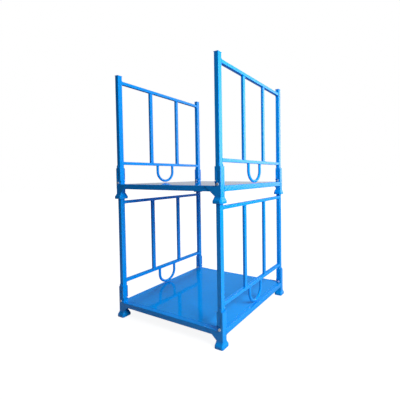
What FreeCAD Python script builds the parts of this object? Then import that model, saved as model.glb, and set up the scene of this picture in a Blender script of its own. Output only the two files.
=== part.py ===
"""Folding, stackable tyre storage rack: two equal racks, one standing on the other.

Each rack is a deck frame on four cup feet. A U-shaped column at every corner holds the
post of an end gate. A gate is lifted until its posts clear the lips of their columns,
and then folds inwards about the pivot bolts, which ride in the columns' long slots.

Units are millimetres. X runs along the front, from the left gate to the right one, Y from
front to back, and Z up. The origin is on the floor, in the middle of the four lower cups.
"""
import FreeCAD, Part
import os
import re
import Sketcher

V = FreeCAD.Vector

# Driving sizes: alias, value, what it is.
SIZES = (
    ("rack_width", 1470, "over the posts of the two gates"),
    ("rack_depth", 1320, "over the front and back posts of a gate"),
    ("post_size", 50, "square post tube of a gate"),
    ("post_wall", 3, "wall of the post tube"),
    ("post_height", 1408, "top end of a post above its rack's feet"),
    ("cap_plate", 5, "edge thickness of a post cap"),
    ("cap_rise", 4, "rise of the cap's pyramid"),
    ("cap_overhang", 2.5, "how far a cap stands past its post"),
    ("cap_tip", 4, "flat at the tip of the pyramid"),
    ("rail_width", 46, "gate rail, across the gate's plane"),
    ("rail_height", 34, "gate rail, upright"),
    ("rail_wall", 2.5, "wall of a gate rail"),
    ("top_rail_drop", 52, "top of the top rail below the ends of its posts"),
    ("lower_rail_top", 428, "top of the lower rail above the feet"),
    ("bar_thickness", 30, "upright gate bar, across the gate's plane"),
    ("bar_width", 40, "upright gate bar, along the gate"),
    ("bar_wall", 2, "wall of an upright bar"),
    ("bar_spacing", 426, "between the axes of a gate's two bars"),
    ("loop_pipe", 32, "outer diameter of the loop's pipe"),
    ("loop_wall", 3, "wall of the loop's pipe"),
    ("loop_width", 244, "between the axes of the loop's legs"),
    ("loop_clearance", 9, "under the loop, above the deck frame"),
    ("frame_top", 167, "top of the deck frame above the feet"),
    ("beam_height", 55, "deck frame beam, upright"),
    ("beam_width", 50, "deck frame beam, across"),
    ("beam_wall", 3, "wall of a deck frame beam"),
    ("deck_thickness", 3, "deck sheet"),
    ("deck_seam", 1.5, "open seam between deck sheet and beams"),
    ("notch_margin", 5, "deck notch around a column"),
    ("bearer_size", 40, "square tube under the deck"),
    ("bearer_wall", 3, "wall of a deck bearer"),
    ("bearer_spacing", 340, "between the axes of the deck bearers"),
    ("column_wall", 4, "plate of a corner column"),
    ("side_play", 1, "between a post and each flange of its column"),
    ("web_gap", 9, "between a post and the web of its column"),
    ("lip_gap", 1, "between a post and the lip of its column"),
    ("column_top", 352, "top of a column's web above the feet"),
    ("tab_rise", 34, "rise of a flange's tab above the web"),
    ("tab_width", 28, "tab, at its top"),
    ("tab_slope", 8, "run of the slope at each side of a tab"),
    ("tab_bevel", 8, "corner cut from the outer side of a tab's top"),
    ("lip_height", 45, "lip of a column above the deck frame"),
    ("lip_bend", 17, "where the lip bends, above the deck frame"),
    ("lip_flare", 10, "how far the lip's edge flares inwards"),
    ("window_width", 19, "window in a flange beside the lip"),
    ("window_sill", 5, "bottom of that window above the deck frame"),
    ("window_margin", 5, "top of that window above the lip"),
    ("bolt_size", 16, "pivot bolt"),
    ("bolt_above_frame", 17, "pivot bolt above the deck frame"),
    ("pivot_offset", 5, "pivot bolt outside the middle of its post"),
    ("bolt_play", 0.5, "around a bolt in its slot"),
    ("pivot_play", 0.05, "around a bolt in its post"),
    ("slot_travel", 116, "how far a bolt can rise in its slot"),
    ("head_width", 24, "bolt head and nut, across flats"),
    ("head_height", 10, "bolt head"),
    ("nut_height", 13, "nut"),
    ("thread_stub", 4, "bolt thread past its nut"),
    ("head_gap", 0.3, "between a flange and the head or nut on it"),
    ("post_below_bolt", 20, "lower end of a post below the bolt"),
    ("seat_gap", 0.3, "between a post's end and its seat"),
    ("seat_thickness", 6, "seat plate inside a column"),
    ("gusset_thickness", 5, "corner gusset plate"),
    ("gusset_run", 123, "gusset along the beam, past the column"),
    ("gusset_foot", 62, "lower corner of a gusset above the feet"),
    ("cup_rim", 104, "square rim of a foot cup"),
    ("cup_height", 62, "foot cup"),
    ("cup_corner", 17, "corner radius at the rim"),
    ("cup_wall", 4, "wall of a cup at its rim"),
    ("cup_bulge", 22, "height up to which a cup stays nearly as wide as its rim"),
    ("cup_draw_in", 1.5, "how far a cup has drawn in at that height, a side"),
    ("cup_shoulder", 44, "height of the shoulder where a cup rounds over"),
    ("cup_round", 8, "how far a cup has drawn in at its shoulder, a side"),
    ("cup_collar", 3, "cup's edge around the column"),
    ("collar_corner", 6, "corner radius of that edge"),
    ("cup_socket", 68, "square at the ceiling of a cup's hollow"),
    ("socket_depth", 35.3, "from a cup's rim up to that ceiling"),
    ("ceiling_thickness", 6, "plate above a cup's hollow"),
    ("stack_gap", 0.3, "between a post cap and the ceiling of the cup on it"),
)

ALIASES = {alias for alias, _, _ in SIZES}

# Places worked out from the driving sizes, as expressions.
POST_X = "(rack_width/2 - post_size/2)"
POST_Y = "(rack_depth/2 - post_size/2)"
BOLT_Z = "(frame_top + bolt_above_frame)"
BEAM_BASE = "(frame_top - beam_height)"
COLUMN_OUT = "(post_size/2 + web_gap + column_wall)"
COLUMN_IN = "(post_size/2 + lip_gap + column_wall)"
COLUMN_SIDE = "(post_size/2 + side_play + column_wall)"
STACK_PITCH = "(post_height + cap_plate + cap_rise + stack_gap - socket_depth)"
COLUMN_BASE = "(socket_depth + ceiling_thickness)"
POST_BASE = f"({BOLT_Z} - post_below_bolt)"
SEAT_TOP = f"({POST_BASE} - seat_gap)"
TOP_RAIL_BASE = "(post_height - top_rail_drop - rail_height)"
LOWER_RAIL_BASE = "(lower_rail_top - rail_height)"
BEAM_FACE = f"({POST_Y} + {COLUMN_SIDE} - gusset_thickness)"
BEAM_BACK = f"({BEAM_FACE} - beam_width)"
BEAM_END = f"({POST_X} - {COLUMN_IN})"
SIDE_BEAM_FACE = f"({POST_X} + {COLUMN_OUT})"
SIDE_BEAM_END = f"({POST_Y} - {COLUMN_SIDE})"

doc = FreeCAD.newDocument("tyre_storage_rack")
sheet = doc.addObject("Spreadsheet::Sheet", "sizes")
for row, (alias, size, note) in enumerate(SIZES, start=1):
    sheet.set(f"A{row}", note)
    sheet.set(f"B{row}", str(size))
    sheet.setAlias(f"B{row}", alias)
doc.recompute()

NODES = []


def bound(expression):
    """The expression with every alias looked up in the sheet."""
    def look_up(word):
        return "sizes." + word.group(0) if word.group(0) in ALIASES else word.group(0)
    return re.sub(r"[a-z][a-z_]+", look_up, str(expression))


def value(expression):
    """The number that an expression gives now."""
    return float(sheet.evalExpression(bound(expression)))


def bind(item, **properties):
    """Ties properties to expressions; a double underscore stands for a dot."""
    for name, expression in properties.items():
        item.setExpression(name.replace("__", "."), bound(expression))


def place(item, x="0", y="0", z="0", turned=False):
    """Puts an item at a place; turned ones are turned half round about Z."""
    if turned:
        item.Placement = FreeCAD.Placement(V(), FreeCAD.Rotation(V(0, 0, 1), 180))
    bind(item, Placement__Base__x=x, Placement__Base__y=y, Placement__Base__z=z)
    return item


def node(item, name):
    """Makes an item a sub-part of the rack, with its own name."""
    item.Label = name
    NODES.append(item)
    return item


def group(name, items):
    """One sub-part made of several separate, equal pieces."""
    made = doc.addObject("Part::Compound", name)
    made.Links = items
    return node(made, name)


def new_body(name):
    return doc.addObject("PartDesign::Body", name)


def sketch_on(body, plane, name, height="0"):
    """An empty sketch on one of the body's own origin planes."""
    sketch = body.newObject("Sketcher::SketchObject", name)
    origin_plane = [p for p in body.Origin.OriginFeatures if p.Role == plane][0]
    sketch.AttachmentSupport = (origin_plane, [""])
    sketch.MapMode = "FlatFace"
    bind(sketch, AttachmentOffset__Base__z=height)
    return sketch


def fix_point(sketch, item, end, x, y):
    """Holds one end of a line or the middle of an arc at a place."""
    for kind, expression in (("DistanceX", x), ("DistanceY", y)):
        index = sketch.addConstraint(Sketcher.Constraint(kind, -1, 1, item, end, value(expression)))
        sketch.setExpression(f"Constraints[{index}]", bound(expression))


def draw_outline(sketch, corners):
    """A closed outline of straight edges through corners given as expressions."""
    points = [V(value(x), value(y), 0) for x, y in corners]
    first = sketch.GeometryCount
    count = len(points)
    for i in range(count):
        sketch.addGeometry(Part.LineSegment(points[i], points[(i + 1) % count]), False)
    for i in range(count):
        following = first + (i + 1) % count
        sketch.addConstraint(Sketcher.Constraint("Coincident", first + i, 2, following, 1))
    for i, (x, y) in enumerate(corners):
        fix_point(sketch, first + i, 1, x, y)


def draw_rectangle(sketch, wide, high, middle_x="0", middle_y="0"):
    """A rectangle about its middle."""
    left = f"{middle_x} - ({wide})/2"
    right = f"{middle_x} + ({wide})/2"
    bottom = f"{middle_y} - ({high})/2"
    top = f"{middle_y} + ({high})/2"
    draw_outline(sketch, ((left, bottom), (right, bottom), (right, top), (left, top)))


def draw_rounded(sketch, wide, high, radius, middle_x="0"):
    """A rectangle with round corners, about a middle on the X axis."""
    half_x = value(wide) / 2
    half_y = value(high) / 2
    rounding = value(radius)
    shift = value(middle_x)
    quarter = FreeCAD.Units.parseQuantity("90 deg").getValueAs("rad").Value
    turns = ((1, -1, 3), (1, 1, 0), (-1, 1, 1), (-1, -1, 2))
    for side_x, side_y, start in turns:
        middle = V(shift + side_x * (half_x - rounding), side_y * (half_y - rounding), 0)
        circle = Part.Circle(middle, V(0, 0, 1), rounding)
        sketch.addGeometry(Part.ArcOfCircle(circle, start * quarter, (start + 1) * quarter), False)
    for i in range(4):
        ends = sketch.Geometry[i].EndPoint, sketch.Geometry[(i + 1) % 4].StartPoint
        sketch.addGeometry(Part.LineSegment(*ends), False)
    for i in range(4):
        sketch.addConstraint(Sketcher.Constraint("Tangent", i, 2, 4 + i, 1))
        sketch.addConstraint(Sketcher.Constraint("Tangent", 4 + i, 2, (i + 1) % 4, 1))
    for i, (side_x, side_y, _) in enumerate(turns):
        x = f"{middle_x} + {side_x}*(({wide})/2 - ({radius}))"
        y = f"{side_y}*(({high})/2 - ({radius}))"
        fix_point(sketch, i, 3, x, y)
    index = sketch.addConstraint(Sketcher.Constraint("Radius", 0, rounding))
    sketch.setExpression(f"Constraints[{index}]", bound(radius))


def pad(body, sketch, length, both_ways=False, name="Pad"):
    made = body.newObject("PartDesign::Pad", name)
    made.Profile = sketch
    bind(made, Length=length)
    if both_ways:
        made.SideType = "Symmetric"
    body.Tip = made
    return made


def cut_through(body, sketch, name="Cut"):
    """Cuts a sketch through the whole body, to both sides of its plane."""
    made = body.newObject("PartDesign::Pocket", name)
    made.Profile = sketch
    made.Type = "ThroughAll"
    made.SideType = "Symmetric"
    body.Tip = made
    return made


def tube(name, plane, wide, high, wall, length, both_ways=True):
    """A rectangular tube: its section drawn on a plane and padded to its length."""
    body = new_body(name)
    section = sketch_on(body, plane, name + "_section")
    draw_rectangle(section, wide, high)
    draw_rectangle(section, f"{wide} - 2*{wall}", f"{high} - 2*{wall}")
    pad(body, section, length, both_ways)
    return body


# Deck frame

def cross_beam(name, side, floor):
    """The front beam (side -1) or the back one (side 1), between two columns."""
    beam = tube(name, "YZ_Plane", "beam_width", "beam_height", "beam_wall", f"2*{BEAM_END}")
    place(beam, y=f"{side}*({BEAM_FACE} - beam_width/2)", z=f"{floor} + frame_top - beam_height/2")
    return node(beam, name)


def side_beam(name, side, floor):
    """The left beam (side -1) or the right one (side 1)."""
    beam = tube(name, "XZ_Plane", "beam_width", "beam_height", "beam_wall", f"2*{SIDE_BEAM_END}")
    place(beam, x=f"{side}*({SIDE_BEAM_FACE} - beam_width/2)", z=f"{floor} + frame_top - beam_height/2")
    return node(beam, name)


def deck_sheet(name, floor):
    """The flat sheet inside the frame, level with it and notched at the columns."""
    body = new_body(name)
    outline = sketch_on(body, "XY_Plane", name + "_outline")
    edge_x = f"({SIDE_BEAM_FACE} - beam_width - deck_seam)"
    edge_y = f"({BEAM_BACK} - deck_seam)"
    notch_x = f"({BEAM_END} - notch_margin)"
    notch_y = f"({SIDE_BEAM_END} - notch_margin)"
    corners = []
    for side_x, side_y in ((1, -1), (1, 1), (-1, 1), (-1, -1)):
        steps = [(notch_x, edge_y), (notch_x, notch_y), (edge_x, notch_y)]
        if side_x * side_y > 0:
            steps.reverse()
        corners += [(f"{side_x}*{x}", f"{side_y}*{y}") for x, y in steps]
    draw_outline(outline, corners)
    pad(body, outline, "deck_thickness")
    place(body, z=f"{floor} + frame_top - deck_thickness")
    return node(body, name)


def deck_bearers(name, floor):
    """Three tubes that carry the deck sheet between the front and back beams."""
    tubes = []
    for number in (-1, 0, 1):
        bearer = tube(f"{name}_{number + 2}", "XZ_Plane", "bearer_size", "bearer_size",
                      "bearer_wall", f"2*{BEAM_BACK}")
        height = f"{floor} + frame_top - deck_thickness - bearer_size/2"
        tubes.append(place(bearer, x=f"{number}*bearer_spacing", z=height))
    return group(name, tubes)


def column(name, side_x, side_y, floor):
    """A corner column: closed under the deck, open inwards above it, with slotted flanges.

    It is drawn for the left, where inwards is +X, about the middle of its post.
    """
    body = new_body(name)
    deep = f"({COLUMN_OUT} + {COLUMN_IN})"
    middle = f"(({COLUMN_IN} - {COLUMN_OUT})/2)"
    box = sketch_on(body, "XY_Plane", name + "_box", COLUMN_BASE)
    draw_rectangle(box, deep, f"2*{COLUMN_SIDE}", middle)
    draw_rectangle(box, f"{deep} - 2*column_wall", f"2*{COLUMN_SIDE} - 2*column_wall", middle)
    pad(body, box, f"frame_top - {COLUMN_BASE}", name="Box")

    channel = sketch_on(body, "XY_Plane", name + "_channel", "frame_top")
    inner_side = f"({COLUMN_SIDE} - column_wall)"
    web = f"(column_wall - {COLUMN_OUT})"
    draw_outline(channel, (
        (f"-{COLUMN_OUT}", f"-{COLUMN_SIDE}"), (COLUMN_IN, f"-{COLUMN_SIDE}"),
        (COLUMN_IN, f"-{inner_side}"), (web, f"-{inner_side}"), (web, inner_side),
        (COLUMN_IN, inner_side), (COLUMN_IN, COLUMN_SIDE), (f"-{COLUMN_OUT}", COLUMN_SIDE)))
    pad(body, channel, "column_top + tab_rise - frame_top", name="Channel")

    trim = sketch_on(body, "XZ_Plane", name + "_trim")
    tab_top = "(column_top + tab_rise)"
    above = f"({tab_top} + column_wall)"
    tab_out = "(-pivot_offset - tab_width/2)"
    tab_in = "(-pivot_offset + tab_width/2)"
    past_web = f"(-{COLUMN_OUT} - column_wall)"
    past_lip = f"({COLUMN_IN} + column_wall)"
    draw_outline(trim, (
        (past_web, "column_top"), (f"{tab_out} - tab_slope", "column_top"),
        (tab_out, f"{tab_top} - tab_bevel"), (f"{tab_out} + tab_bevel", tab_top), (tab_in, tab_top),
        (f"{tab_in} + tab_slope", "column_top"), (past_lip, "column_top"),
        (past_lip, above), (past_web, above)))
    cut_through(body, trim, "Trim")

    window = sketch_on(body, "XZ_Plane", name + "_window")
    sill = "(frame_top + window_sill)"
    head = "(frame_top + lip_height + window_margin)"
    draw_outline(window, ((f"{COLUMN_IN} - window_width", sill), (past_lip, sill),
                          (past_lip, head), (f"{COLUMN_IN} - window_width", head)))
    cut_through(body, window, "Window")

    lip = sketch_on(body, "XZ_Plane", name + "_lip")
    bend = "(frame_top + lip_bend)"
    edge = "(frame_top + lip_height)"
    lip_face = f"({COLUMN_IN} - column_wall)"
    draw_outline(lip, (
        (lip_face, "frame_top"), (COLUMN_IN, "frame_top"), (COLUMN_IN, bend),
        (f"{COLUMN_IN} + lip_flare", edge), (f"{lip_face} + lip_flare", edge), (lip_face, bend)))
    pad(body, lip, f"2*{inner_side}", both_ways=True, name="Lip")

    slot = sketch_on(body, "XZ_Plane", name + "_slot")
    draw_slot(slot)
    cut_through(body, slot, "Slot")
    place(body, f"{side_x}*{POST_X}", f"{side_y}*{POST_Y}", floor, turned=side_x > 0)
    return node(body, name)


def draw_slot(sketch):
    """An upright slot with round ends, in which a pivot bolt rises."""
    radius = "(bolt_size/2 + bolt_play)"
    reach = value(radius)
    quarter = FreeCAD.Units.parseQuantity("90 deg").getValueAs("rad").Value
    ends = ((f"{BOLT_Z} + slot_travel", 0), (BOLT_Z, 2))
    for height, start in ends:
        circle = Part.Circle(V(value("-pivot_offset"), value(height), 0), V(0, 0, 1), reach)
        sketch.addGeometry(Part.ArcOfCircle(circle, start * quarter, (start + 2) * quarter), False)
    for i in range(2):
        line = sketch.Geometry[i].EndPoint, sketch.Geometry[1 - i].StartPoint
        sketch.addGeometry(Part.LineSegment(*line), False)
    for i in range(2):
        sketch.addConstraint(Sketcher.Constraint("Tangent", i, 2, 2 + i, 1))
        sketch.addConstraint(Sketcher.Constraint("Tangent", 2 + i, 2, 1 - i, 1))
    for i, (height, _) in enumerate(ends):
        fix_point(sketch, i, 3, "-pivot_offset", height)
    index = sketch.addConstraint(Sketcher.Constraint("Radius", 0, reach))
    sketch.setExpression(f"Constraints[{index}]", bound(radius))


def corners_of_rack():
    return [(side_x, side_y) for side_y in (-1, 1) for side_x in (-1, 1)]


def post_seats(name, floor):
    """A plate inside each column, on which the post's lower end stands."""
    plates = []
    for number, (side_x, side_y) in enumerate(corners_of_rack(), start=1):
        plate = doc.addObject("Part::Box", f"{name}_{number}")
        length = f"{COLUMN_OUT} + {COLUMN_IN} - 2*column_wall"
        width = f"2*{COLUMN_SIDE} - 2*column_wall"
        bind(plate, Length=length, Width=width, Height="seat_thickness")
        outer = f"{COLUMN_OUT} - column_wall" if side_x < 0 else f"{COLUMN_IN} - column_wall"
        place(plate, f"{side_x}*{POST_X} - ({outer})", f"{side_y}*{POST_Y} - ({width})/2",
              f"{floor} + {SEAT_TOP} - seat_thickness")
        plates.append(plate)
    return group(name, plates)


def corner_gussets(name, floor):
    """A triangular plate in each inner corner of the front and back, lapped on the beam."""
    plates = []
    for number, (side_x, side_y) in enumerate(corners_of_rack(), start=1):
        body = new_body(f"{name}_{number}")
        outline = sketch_on(body, "XZ_Plane", f"{name}_{number}_outline")
        draw_outline(outline, ((f"{side_x}*{BEAM_END}", "frame_top"),
                               (f"{side_x}*({BEAM_END} - gusset_run)", "frame_top"),
                               (f"{side_x}*{BEAM_END}", "gusset_foot")))
        pad(body, outline, "gusset_thickness", both_ways=True)
        plates.append(place(body, y=f"{side_y}*({BEAM_FACE} + gusset_thickness/2)", z=floor))
    return group(name, plates)


def foot_cups(name, floor):
    """Bell-shaped cups under the columns, each to stand over the post cap of a rack below."""
    cups = []
    for number, (side_x, side_y) in enumerate(corners_of_rack(), start=1):
        body = new_body(f"{name}_{number}")
        deep = f"{COLUMN_OUT} + {COLUMN_IN}"
        shift = f"(({COLUMN_IN} - {COLUMN_OUT})/2)"
        top_deep = f"{deep} + 2*cup_collar"
        top_wide = f"2*{COLUMN_SIDE} + 2*cup_collar"
        levels = (
            ("0", "cup_rim", "cup_rim", "cup_corner", "0"),
            ("cup_bulge", "cup_rim - 2*cup_draw_in", "cup_rim - 2*cup_draw_in", "cup_corner", "0"),
            ("cup_shoulder", "cup_rim - 2*cup_round", "cup_rim - 2*cup_round", "cup_corner", "0"),
            ("cup_height", top_deep, top_wide, "collar_corner", shift))
        rings = []
        for level, (height, wide, high, radius, middle) in enumerate(levels):
            ring = sketch_on(body, "XY_Plane", f"{name}_{number}_ring_{level}", height)
            draw_rounded(ring, wide, high, radius, middle)
            rings.append(ring)
        bell = body.newObject("PartDesign::AdditiveLoft", "Bell")
        bell.Profile = rings[0]
        bell.Sections = rings[1:]
        body.Tip = bell

        mouth = sketch_on(body, "XY_Plane", f"{name}_{number}_mouth")
        draw_rounded(mouth, "cup_rim - 2*cup_wall", "cup_rim - 2*cup_wall", "cup_corner - cup_wall")
        roof = sketch_on(body, "XY_Plane", f"{name}_{number}_roof", "socket_depth")
        draw_rounded(roof, "cup_socket", "cup_socket", "collar_corner")
        hollow = body.newObject("PartDesign::SubtractiveLoft", "Hollow")
        hollow.Profile = mouth
        hollow.Sections = [roof]
        body.Tip = hollow

        seat = sketch_on(body, "XY_Plane", f"{name}_{number}_seat", COLUMN_BASE)
        draw_rectangle(seat, deep, f"2*{COLUMN_SIDE}", shift)
        socket = body.newObject("PartDesign::Pocket", "Socket")
        socket.Profile = seat
        socket.Type = "Length"
        socket.Reversed = True
        bind(socket, Length=f"cup_height - {COLUMN_BASE} + column_wall")
        body.Tip = socket
        cups.append(place(body, f"{side_x}*{POST_X}", f"{side_y}*{POST_Y}", floor, turned=side_x > 0))
    return group(name, cups)


# Gates

def gate_post(name, side_x, side_y, floor):
    """A post of a gate, drilled for the pivot bolt."""
    post = tube(name, "XY_Plane", "post_size", "post_size", "post_wall",
                f"post_height - {POST_BASE}", both_ways=False)
    hole = sketch_on(post, "XZ_Plane", name + "_hole")
    circle = Part.Circle(V(value(f"{side_x}*pivot_offset"), value("post_below_bolt"), 0), V(0, 0, 1),
                         value("bolt_size/2 + pivot_play"))
    hole.addGeometry(circle, False)
    fix_point(hole, 0, 3, f"{side_x}*pivot_offset", "post_below_bolt")
    index = hole.addConstraint(Sketcher.Constraint("Radius", 0, value("bolt_size/2 + pivot_play")))
    hole.setExpression(f"Constraints[{index}]", bound("bolt_size/2 + pivot_play"))
    cut_through(post, hole, "BoltHole")
    place(post, f"{side_x}*{POST_X}", f"{side_y}*{POST_Y}", f"{floor} + {POST_BASE}")
    return node(post, name)


def gate_rail(name, side_x, base, floor):
    """A rail between a gate's two posts."""
    rail = tube(name, "XZ_Plane", "rail_width", "rail_height", "rail_wall", f"2*{POST_Y} - post_size")
    place(rail, f"{side_x}*{POST_X}", z=f"{floor} + {base} + rail_height/2")
    return node(rail, name)


def gate_bars(name, side_x, floor):
    """The two upright bars between a gate's rails."""
    bars = []
    for side_y in (-1, 1):
        bar = tube(f"{name}_{2 + side_y}", "XY_Plane", "bar_thickness", "bar_width", "bar_wall",
                   f"{TOP_RAIL_BASE} - lower_rail_top", both_ways=False)
        place(bar, f"{side_x}*{POST_X}", f"{side_y}*bar_spacing/2", f"{floor} + lower_rail_top")
        bars.append(bar)
    return group(name, bars)


def gate_loop(name, side_x, floor):
    """The bent pipe under a gate's lower rail: two legs and a half circle."""
    body = new_body(name)
    route = sketch_on(body, "YZ_Plane", name + "_route")
    radius = "loop_width/2"
    bend_z = f"(frame_top + loop_clearance + loop_pipe/2 + {radius})"
    half = value(radius)
    top = value(LOWER_RAIL_BASE)
    low = value(bend_z)
    half_turn = FreeCAD.Units.parseQuantity("180 deg").getValueAs("rad").Value
    route.addGeometry(Part.LineSegment(V(-half, top, 0), V(-half, low, 0)), False)
    bend = Part.Circle(V(0, low, 0), V(0, 0, 1), half)
    route.addGeometry(Part.ArcOfCircle(bend, half_turn, 2 * half_turn), False)
    route.addGeometry(Part.LineSegment(V(half, low, 0), V(half, top, 0)), False)
    route.addConstraint(Sketcher.Constraint("Tangent", 0, 2, 1, 1))
    route.addConstraint(Sketcher.Constraint("Tangent", 1, 2, 2, 1))
    fix_point(route, 1, 3, "0", bend_z)
    fix_point(route, 0, 1, f"-{radius}", LOWER_RAIL_BASE)
    fix_point(route, 2, 2, radius, LOWER_RAIL_BASE)
    section = sketch_on(body, "XY_Plane", name + "_section", LOWER_RAIL_BASE)
    for number, expression in enumerate(("loop_pipe/2", "loop_pipe/2 - loop_wall")):
        section.addGeometry(Part.Circle(V(0, -half, 0), V(0, 0, 1), value(expression)), False)
        fix_point(section, number, 3, "0", f"-{radius}")
        index = section.addConstraint(Sketcher.Constraint("Radius", number, value(expression)))
        section.setExpression(f"Constraints[{index}]", bound(expression))
    pipe = body.newObject("PartDesign::AdditivePipe", "Pipe")
    pipe.Profile = section
    pipe.Spine = route
    body.Tip = pipe
    place(body, f"{side_x}*{POST_X}", z=floor)
    return node(body, name)


def post_caps(name, side_x, floor):
    """Low pyramid caps that close a gate's two posts."""
    caps = []
    for side_y in (-1, 1):
        label = f"{name}_{2 + side_y}"
        wide = "(post_size + 2*cap_overhang)"
        plate = doc.addObject("Part::Box", label + "_plate")
        bind(plate, Length=wide, Width=wide, Height="cap_plate")
        pyramid = doc.addObject("Part::Wedge", label + "_pyramid")
        near = f"{wide}/2 - cap_tip/2"
        far = f"{wide}/2 + cap_tip/2"
        bind(pyramid, Xmin="0", Xmax=wide, Zmin="0", Zmax=wide, Ymin="0", Ymax="cap_rise",
             X2min=near, X2max=far, Z2min=near, Z2max=far)
        pyramid.Placement = FreeCAD.Placement(V(), FreeCAD.Rotation(V(1, 0, 0), 90))
        bind(pyramid, Placement__Base__y=wide, Placement__Base__z="cap_plate")
        cap = doc.addObject("Part::Fuse", label)
        cap.Base = plate
        cap.Tool = pyramid
        place(cap, f"{side_x}*{POST_X} - {wide}/2", f"{side_y}*{POST_Y} - {wide}/2",
              f"{floor} + post_height")
        caps.append(cap)
    return group(name, caps)


def cylinder_along_y(name, radius, length, start):
    made = doc.addObject("Part::Cylinder", name)
    made.Placement = FreeCAD.Placement(V(), FreeCAD.Rotation(V(1, 0, 0), -90))
    bind(made, Radius=radius, Height=length, Placement__Base__y=start)
    return made


def hexagon_along_y(name, length, start):
    made = doc.addObject("Part::Prism", name)
    made.Polygon = 6
    made.Placement = FreeCAD.Placement(V(), FreeCAD.Rotation(V(1, 0, 0), -90))
    bind(made, Circumradius="head_width/2/cos(30)", Height=length, Placement__Base__y=start)
    return made


def pivot_bolts(name, side_x, floor):
    """The two bolts on which a gate slides and turns, each with its nut."""
    pieces = []
    grip = f"({COLUMN_SIDE} + head_gap)"
    for side_y in (-1, 1):
        label = f"{name}_{2 + side_y}"
        at = (f"{side_x}*({POST_X} + pivot_offset)", f"{side_y}*{POST_Y}", f"{floor} + {BOLT_Z}")
        shank = cylinder_along_y(label + "_shank", "bolt_size/2",
                                 f"2*{grip} + nut_height + thread_stub", f"-{grip}")
        head = hexagon_along_y(label + "_head", "head_height", f"-{grip} - head_height")
        bolt = doc.addObject("Part::Fuse", label + "_bolt")
        bolt.Base = head
        bolt.Tool = shank
        pieces.append(place(bolt, *at))
        block = hexagon_along_y(label + "_block", "nut_height", grip)
        bore = cylinder_along_y(label + "_bore", "bolt_size/2 + pivot_play", "nut_height", grip)
        nut = doc.addObject("Part::Cut", label + "_nut")
        nut.Base = block
        nut.Tool = bore
        pieces.append(place(nut, *at))
    return group(name, pieces)


def build_gate(prefix, side_x, floor):
    gate_post(f"{prefix}_front_post", side_x, -1, floor)
    gate_post(f"{prefix}_back_post", side_x, 1, floor)
    gate_rail(f"{prefix}_top_rail", side_x, TOP_RAIL_BASE, floor)
    gate_rail(f"{prefix}_lower_rail", side_x, LOWER_RAIL_BASE, floor)
    gate_bars(f"{prefix}_bars", side_x, floor)
    gate_loop(f"{prefix}_loop", side_x, floor)
    post_caps(f"{prefix}_post_caps", side_x, floor)
    pivot_bolts(f"{prefix}_pivot_bolts", side_x, floor)


def build_base(prefix, floor):
    cross_beam(f"{prefix}_front_beam", -1, floor)
    cross_beam(f"{prefix}_back_beam", 1, floor)
    side_beam(f"{prefix}_left_beam", -1, floor)
    side_beam(f"{prefix}_right_beam", 1, floor)
    deck_sheet(f"{prefix}_deck_sheet", floor)
    deck_bearers(f"{prefix}_deck_bearers", floor)
    for side_x, side_y in corners_of_rack():
        end = "front" if side_y < 0 else "back"
        hand = "left" if side_x < 0 else "right"
        column(f"{prefix}_{end}_{hand}_column", side_x, side_y, floor)
    post_seats(f"{prefix}_post_seats", floor)
    corner_gussets(f"{prefix}_corner_gussets", floor)
    foot_cups(f"{prefix}_foot_cups", floor)


for rack, rack_floor in (("lower", "0"), ("upper", STACK_PITCH)):
    build_base(rack, rack_floor)
    build_gate(f"{rack}_left", -1, rack_floor)
    build_gate(f"{rack}_right", 1, rack_floor)

doc.recompute()

failed = [item.Name for item in doc.Objects if "Invalid" in item.State or "Error" in item.State]
if failed:
    raise RuntimeError(f"these did not build: {failed}")
for item in NODES:
    if item.Shape.isNull() or not item.Shape.isValid() or not item.Shape.Solids:
        raise RuntimeError(f"{item.Label} has no sound solid")

os.makedirs("parts", exist_ok=True)
for item in NODES:
    item.Shape.exportStep(f"parts/{item.Label}.step")
print(len(NODES), "sub-parts written")
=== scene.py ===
"""Dresses the two stacked tyre racks: rounded tubes, pressed cups, welds, zinc bolts and blue powder coat.

The frame holds every piece at its real size and place in metres; X runs along the front, Y to the
back and Z up. The dressed pieces are worked out from the frame's own boxes and ride on its bodies.
"""

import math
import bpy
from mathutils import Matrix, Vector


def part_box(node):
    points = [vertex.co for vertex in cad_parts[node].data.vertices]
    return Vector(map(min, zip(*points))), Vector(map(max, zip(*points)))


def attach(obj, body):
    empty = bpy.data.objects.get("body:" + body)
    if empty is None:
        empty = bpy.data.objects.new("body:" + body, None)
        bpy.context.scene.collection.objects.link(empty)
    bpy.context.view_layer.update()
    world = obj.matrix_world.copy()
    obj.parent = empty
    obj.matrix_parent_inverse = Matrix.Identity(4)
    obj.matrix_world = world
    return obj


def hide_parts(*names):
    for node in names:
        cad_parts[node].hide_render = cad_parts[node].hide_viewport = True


bl_info = {
    "name": "Tyre rack dressing",
    "version": (1, 0, 0),
    "blender": (4, 5, 0),
    "location": "3D View > Sidebar > Tyre rack",
    "description": "Finish for a pair of stacked folding tyre racks",
    "category": "Object",
}

import bmesh
import bpy
from mathutils import Matrix, Vector

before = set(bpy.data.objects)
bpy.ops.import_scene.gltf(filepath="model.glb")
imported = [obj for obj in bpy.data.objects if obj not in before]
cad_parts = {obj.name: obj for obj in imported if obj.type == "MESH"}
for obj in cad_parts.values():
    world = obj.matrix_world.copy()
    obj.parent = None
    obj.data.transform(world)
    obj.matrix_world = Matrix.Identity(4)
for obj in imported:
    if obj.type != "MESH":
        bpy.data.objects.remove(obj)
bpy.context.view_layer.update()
RACKS = ("lower", "upper")
HANDS = ("left", "right")
ENDS = ("front", "back")

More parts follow.
